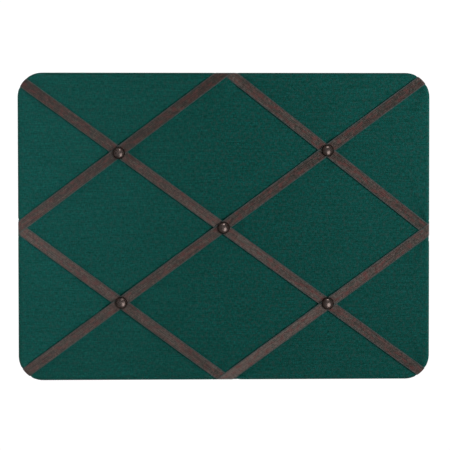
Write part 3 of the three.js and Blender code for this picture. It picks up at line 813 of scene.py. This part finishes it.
# Each ribbon takes its pattern from another place, so that no two look alike
for number, ribbon in enumerate(RIBBONS):
    tail_ends = [ribbon_reach(ribbon, -1), ribbon_reach(ribbon, 1)]
    length = tail_ends[1] - tail_ends[0]
    steps = int(round(length / RIB_PITCH)) * STEPS_A_RIB + 1
    strip_along, strip_aside = np.meshgrid(np.linspace(*tail_ends, steps), RIBBON_LINES, indexing="ij")
    rib, rise, curl = ribbon_relief(strip_along, strip_aside)
    loose = ribbon.loose(strip_along)
    # Its tone: the rib's share, which paints shade between the ribs, and its painted sheen and shade.
    tone = rib + ribbon.painted_sheen_and_shade(strip_along)
    pattern_along = strip_along + number * PATTERN_SHIFT
    strip_lie = np.stack([pattern_along, strip_aside, tone], axis=-1).reshape(-1, 3)
    strip = make_piece(
        "strip_" + ribbon.name,
        double_sheet(
            ribbon_points(ribbon, strip_along, strip_aside, (RIBBON_CLOTH + rise) * loose),
            ribbon_points(ribbon, strip_along, strip_aside, -curl * loose),
        ),
        "ribbon",
        "board",
        "ribbon_" + ribbon.name,
        lie=np.concatenate([strip_lie, strip_lie]),
    )


# The nails' domed caps

DOME_SIDES = 72
DOME_STEPS = 26
LIP_STEPS = 9
NAIL_PRESS = 0.12 * MM


def ring_points(centre, radius, level, sides):
    """Closed rings about -Y at each radius and level, all round a centre in plan."""
    turn = np.arange(sides) * 4 * QUARTER / sides
    x = centre.x + radius[:, None] * np.cos(turn)
    z = centre.z + radius[:, None] * np.sin(turn)
    return np.stack([x, np.broadcast_to(level[:, None], x.shape), z], axis=-1)


def nail_cap(name):
    """A hollow dome: a quarter ellipse from its top to its rim, a half-round lip, and back inside."""
    low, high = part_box("nail_cap_" + name)
    centre = (low + high) / 2
    radius = (high.x - low.x) / 2
    lip = NAIL_CAP_SHEET / 2
    rim_y = high.y + NAIL_PRESS - lip
    height = rim_y - low.y
    turn = np.linspace(0, QUARTER, DOME_STEPS)[1:]
    lip_turn = np.linspace(0, 2 * QUARTER, LIP_STEPS)[1:-1]
    inside = turn[::-1]
    radii = np.concatenate([
        radius * np.sin(turn),
        radius - lip + lip * np.cos(lip_turn),
        (radius - NAIL_CAP_SHEET) * np.sin(inside),
    ])
    levels = np.concatenate([
        rim_y - height * np.cos(turn),
        rim_y + lip * np.sin(lip_turn),
        rim_y - (height - NAIL_CAP_SHEET) * np.cos(inside),
    ])
    rings = ring_points(centre, radii, levels, DOME_SIDES)
    top = np.array([centre.x, low.y, centre.z])
    under = np.array([centre.x, low.y + NAIL_CAP_SHEET, centre.z])
    skin = turned_skin(top, rings, under)
    # Height share on the dome: the finish makes it wear near the top and painted shade at the rim.
    wear_and_rim_shade = (rim_y - skin[0][:, 1]) / height
    make_piece(
        "dome_" + name,
        skin,
        "nail_bronze",
        "board",
        "nail_cap_" + name,
        lie=np.stack([wear_and_rim_shade, 0 * wear_and_rim_shade, 0 * wear_and_rim_shade], axis=-1),
    )


for nail in NAILS:
    nail_cap(nail)


# The back panel

PANEL_PITCH = 9 * MM
PANEL_ROUND = 0.4 * MM
PANEL_ROUND_STEPS = 5
panel_low, panel_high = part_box("back_panel")


def panel_grid():
    """The panel's two faces: a rounded rectangle, whose outer lines fall away in a quarter round."""
    turn = np.linspace(0, QUARTER, PANEL_ROUND_STEPS)
    fall = PANEL_ROUND * np.sin(turn)

    def lines(half):
        count = int(round((half - PANEL_ROUND) / PANEL_PITCH))
        return mirrored(np.concatenate([
            (np.arange(count) + 0.5) * (half - PANEL_ROUND) / count,
            half - PANEL_ROUND + fall,
        ]))

    across, up = np.meshgrid(lines(panel_high.x), lines(panel_high.z), indexing="ij")
    core_x, core_z, reach, out_x, out_z = rounded_plan(across, up, panel_high.x, panel_high.z, PANEL_CORNER)
    past = np.clip((reach - (PANEL_CORNER - PANEL_ROUND)) / PANEL_ROUND, 0, 1)
    drop = PANEL_ROUND * (1 - np.sqrt(1 - past**2))
    x = core_x + out_x * reach
    z = core_z + out_z * reach
    return np.stack([x, panel_high.y - drop, z], axis=-1), np.stack([x, panel_low.y + drop, z], axis=-1)


make_piece("panel", double_sheet(*panel_grid()), "panel_board", "board", "back_panel")


# The hangers: a curled strap, a hinged ring and a screw each

RING_STEPS = 16
WIRE_SIDES = 18
CURL_STEPS = 28
STRAP_STEPS = 22
STRAP_LINES = 9
STRAP_TIP = 0.02
CURL_END = 1.2 * np.pi
SCREW_SIDES = 72
SCREW_STEPS = 26
RECESS_SOFT = 0.18 * MM


def arc(centre, radius, start, end, steps):
    """Points round part of a circle."""
    turn = np.linspace(start, end, steps)[:, None]
    return np.array(centre) + radius * np.concatenate([np.cos(turn), np.sin(turn)], axis=1)


def ring_wire(lean):
    """A round wire along a closed path: a straight bar, two bends, two legs and a half-round bow.

    The path lies in a plane that leans to the panel. Each wire section is a circle of its normal and
    the plane's own normal.
    """
    leg = RING_HALF_WIDTH - RING_BEND
    bow = RING_REACH - RING_HALF_WIDTH
    side = np.full(RING_STEPS, RING_HALF_WIDTH)
    rise = np.linspace(RING_BEND, bow, RING_STEPS)
    path = np.concatenate([
        np.stack([np.linspace(-leg, leg, RING_STEPS), np.zeros(RING_STEPS)], axis=1)[:-1],
        arc((leg, RING_BEND), RING_BEND, -QUARTER, 0, RING_STEPS)[:-1],
        np.stack([side, rise], axis=1)[:-1],
        arc((0, bow), RING_HALF_WIDTH, 0, 2 * QUARTER, 3 * RING_STEPS)[:-1],
        np.stack([-side, rise[::-1]], axis=1)[:-1],
        arc((-leg, RING_BEND), RING_BEND, 2 * QUARTER, 3 * QUARTER, RING_STEPS)[:-1],
    ])
    way = np.roll(path, -1, axis=0) - np.roll(path, 1, axis=0)
    way = way / np.linalg.norm(way, axis=1, keepdims=True)
    normal = np.stack([way[:, 1], -way[:, 0]], axis=1)
    turn = np.arange(WIRE_SIDES) * 4 * QUARTER / WIRE_SIDES
    flat = path[:, None] + RING_WIRE / 2 * np.cos(turn)[None, :, None] * normal[:, None]
    proud = np.broadcast_to(RING_WIRE / 2 * np.sin(turn), flat.shape[:2])
    out = proud * np.cos(lean) - flat[..., 1] * np.sin(lean)
    up = flat[..., 1] * np.cos(lean) + proud * np.sin(lean)
    points = np.stack([flat[..., 0], out, up], axis=-1)
    closed = np.concatenate([points, points[:1]])
    faces = grid_faces(len(closed), WIRE_SIDES, 0, True) % (len(points) * WIRE_SIDES)
    return points.reshape(-1, 3), [faces]


def strap_sheet():
    """A strip of sheet: flat along the panel from a round end, then curled over round the ring's bar.

    The round end starts at a small angle, not at 0, so that its first line of points has a width.
    """
    middle = RING_BORE + STRAP_SHEET / 2
    half = STRAP_WIDTH / 2
    share = 1 - np.cos(np.linspace(STRAP_TIP, QUARTER, STRAP_STEPS))
    end = share * half
    rest = np.linspace(half, STRAP_LENGTH, STRAP_STEPS)[1:-1]
    flat_up = np.concatenate([end, rest]) - STRAP_LENGTH
    curl = np.linspace(-QUARTER, CURL_END, CURL_STEPS)
    up = np.concatenate([flat_up, middle * np.cos(curl)])
    out = np.concatenate([np.full(len(flat_up), -middle), middle * np.sin(curl)])
    normal_up = np.concatenate([np.zeros(len(flat_up)), np.cos(curl)])
    normal_out = np.concatenate([np.full(len(flat_up), -1.0), np.sin(curl)])
    width = np.full(len(up), half)
    width[:len(end)] = half * np.sqrt(1 - (1 - share) ** 2)
    aside = width[:, None] * np.linspace(-1, 1, STRAP_LINES)

    def face(lift):
        level = (out + lift * normal_out)[:, None] + 0 * aside
        height = (up + lift * normal_up)[:, None] + 0 * aside
        return np.stack([aside, level, height], axis=-1)

    return double_sheet(face(STRAP_SHEET / 2), face(-STRAP_SHEET / 2))


def screw_skin():
    """A pan-head screw: a domed head with a sunk cross, a straight shank and a point."""
    seat = STRAP_SHEET - PIVOT_HEIGHT + LAY_GAP
    turn = np.linspace(0, QUARTER, SCREW_STEPS)[1:]
    radii = np.concatenate([
        SCREW_HEAD_RADIUS * np.sin(turn),
        [SCREW_RADIUS, SCREW_RADIUS],
    ])
    levels = np.concatenate([
        SCREW_HEAD_HEIGHT * np.sqrt(np.cos(turn)),
        [0, SCREW_POINT - SCREW_LENGTH],
    ])
    rings = ring_points(Vector((0, 0, 0)), radii, levels, SCREW_SIDES)
    x, z = np.abs(rings[..., 0]), np.abs(rings[..., 2])

    def arm(lengthwise, sideways):
        inside = (RECESS_LENGTH / 2 - lengthwise) / RECESS_SOFT
        within = (RECESS_WIDTH / 2 - sideways) / RECESS_SOFT
        return np.clip(inside, 0, 1) * np.clip(within, 0, 1)

    sunk = np.maximum(arm(x, z), arm(z, x)) * (np.arange(len(radii)) < len(turn))[:, None]
    rings[..., 1] -= RECESS_DEPTH * sunk
    top = np.array([0, SCREW_HEAD_HEIGHT - RECESS_DEPTH, 0])
    point = np.array([0, -SCREW_LENGTH, 0])
    points, faces = turned_skin(top, rings, point)
    return points + (0, seat, -SCREW_OFFSET), faces


def hang(name, skin, node, joint, body):
    """Puts a hanger's piece at its hinge: along the bar, out from the panel, and up the ring."""
    points, faces = skin
    bar = -np.array(joint["axis"], float)
    out = np.array([0.0, 1.0, 0.0])
    turned = points @ np.stack([bar, out, np.cross(bar, out)])
    make_piece(name, (turned + joint["pos_m"], faces), "steel", body, node)


RING_LEAN = np.arcsin((PIVOT_HEIGHT - RING_WIRE / 2) / RING_REACH)
for joint in frame["joints"]:
    way = joint["name"].split("_")[0]
    hang("wire_ring_" + way, ring_wire(RING_LEAN), "hanger_ring_" + way, joint, joint["child"])
    hang("curled_strap_" + way, strap_sheet(), "hanger_strap_" + way, joint, "board")
    hang("pan_screw_" + way, screw_skin(), "hanger_screw_" + way, joint, "board")


# Floor, light and camera

FLOOR_Z = -1.4
FLOOR_RADIUS = 5
FLOOR_SIDES = 96
SKY_BEFORE = (0.14, 0.14, 0.14, 1.0)
SKY_BEHIND = (1.05, 1.05, 1.05, 1.0)
SKY_FADE_FROM = -0.25
SKY_FADE_TO = 0.45
scene = bpy.context.scene
scene.view_settings.view_transform = "Standard"

floor_turn = np.arange(FLOOR_SIDES) * 4 * QUARTER / FLOOR_SIDES
floor_x, floor_y = FLOOR_RADIUS * np.cos(floor_turn), FLOOR_RADIUS * np.sin(floor_turn)
floor_rim = np.stack([floor_x, floor_y, np.full(FLOOR_SIDES, FLOOR_Z)], axis=1)
floor_mesh = bpy.data.meshes.new("floor")
floor_mesh.from_pydata(floor_rim.tolist(), [], [range(FLOOR_SIDES)])
pale = Finish("pale floor", Roughness=0.9)
speckle = pale.noise(pale.place(), 60.0, 3.0)
pale.drive("Base Color", pale.shades(speckle, (0.3, (0.78, 0.78, 0.77)), (0.7, (0.84, 0.84, 0.83))))
floor_mesh.materials.append(pale.material)
floor = bpy.data.objects.new("floor", floor_mesh)
floor.visible_glossy = False
scene.collection.objects.link(floor)

world = bpy.data.worlds.new("studio")
world.use_nodes = True
scene.world = world
sky = world.node_tree
facing = sky.nodes.new("ShaderNodeTexCoord")
axes = sky.nodes.new("ShaderNodeSeparateXYZ")
fade = sky.nodes.new("ShaderNodeMapRange")
tint = sky.nodes.new("ShaderNodeValToRGB")
fade.inputs["From Min"].default_value = SKY_FADE_FROM
fade.inputs["From Max"].default_value = SKY_FADE_TO
tint.color_ramp.elements[0].color = SKY_BEFORE
tint.color_ramp.elements[1].color = SKY_BEHIND
sky.links.new(facing.outputs["Generated"], axes.inputs[0])
sky.links.new(axes.outputs["Y"], fade.inputs[0])
sky.links.new(fade.outputs[0], tint.inputs["Fac"])
sky.links.new(tint.outputs["Color"], sky.nodes["Background"].inputs["Color"])


def soft_light(name, place, width, height, power, aim=(0, 0, 0), spread=np.pi, glossy=False, diffuse=True):
    """An oblong area light that looks at one place on the board.

    Gloss mirrors it only where asked, and one that is there for gloss alone lights no matte surface.
    """
    lamp = bpy.data.lights.new(name, "AREA")
    lamp.shape = "RECTANGLE"
    lamp.size = width
    lamp.size_y = height
    lamp.energy = power
    lamp.spread = spread
    light = bpy.data.objects.new(name, lamp)
    light.location = place
    light.rotation_euler = (Vector(aim) - Vector(place)).to_track_quat("-Z", "Y").to_euler()
    light.visible_camera = False
    light.visible_glossy = glossy
    light.visible_diffuse = diffuse
    scene.collection.objects.link(light)


soft_light("key", (6.4, -5.0, 0.0), 1.8, 1.8, 474)
soft_light("left_wash", (0.9, -1.0, 0.14), 0.1, 0.5, 0.3, aim=(-0.33, 0, 0.08), spread=np.radians(16))
soft_light("left_rim", (-0.6, -0.08, 0.07), 0.2, 0.3, 1.7)
soft_light("right_panel", (0.41, -0.3, 0.17), 0.25, 0.25, 0.95)
soft_light("under", (0.34, -1.05, -0.46), 0.5, 0.8, 1.95, glossy=True, diffuse=False)
soft_light("glint", (0.1, -1.2, 1.2), 0.3, 0.3, 1.9, glossy=True)

CAMERA_AT = Vector((-0.02416, -1.1419, 0.02495))
CAMERA_LOOKS_AT = Vector((0.00093, 0.0, 0.00098))
CAMERA_ROLL = -0.0012
CAMERA_LENS = 100
CAMERA_SENSOR = 36
camera = bpy.data.objects.new("camera", bpy.data.cameras.new("camera"))
camera.data.lens = CAMERA_LENS
camera.data.sensor_width = CAMERA_SENSOR
camera.location = CAMERA_AT
aim = (CAMERA_LOOKS_AT - CAMERA_AT).to_track_quat("-Z", "Y")
camera.rotation_euler = (aim @ Quaternion((0, 0, 1), CAMERA_ROLL)).to_euler()
scene.collection.objects.link(camera)
scene.camera = camera
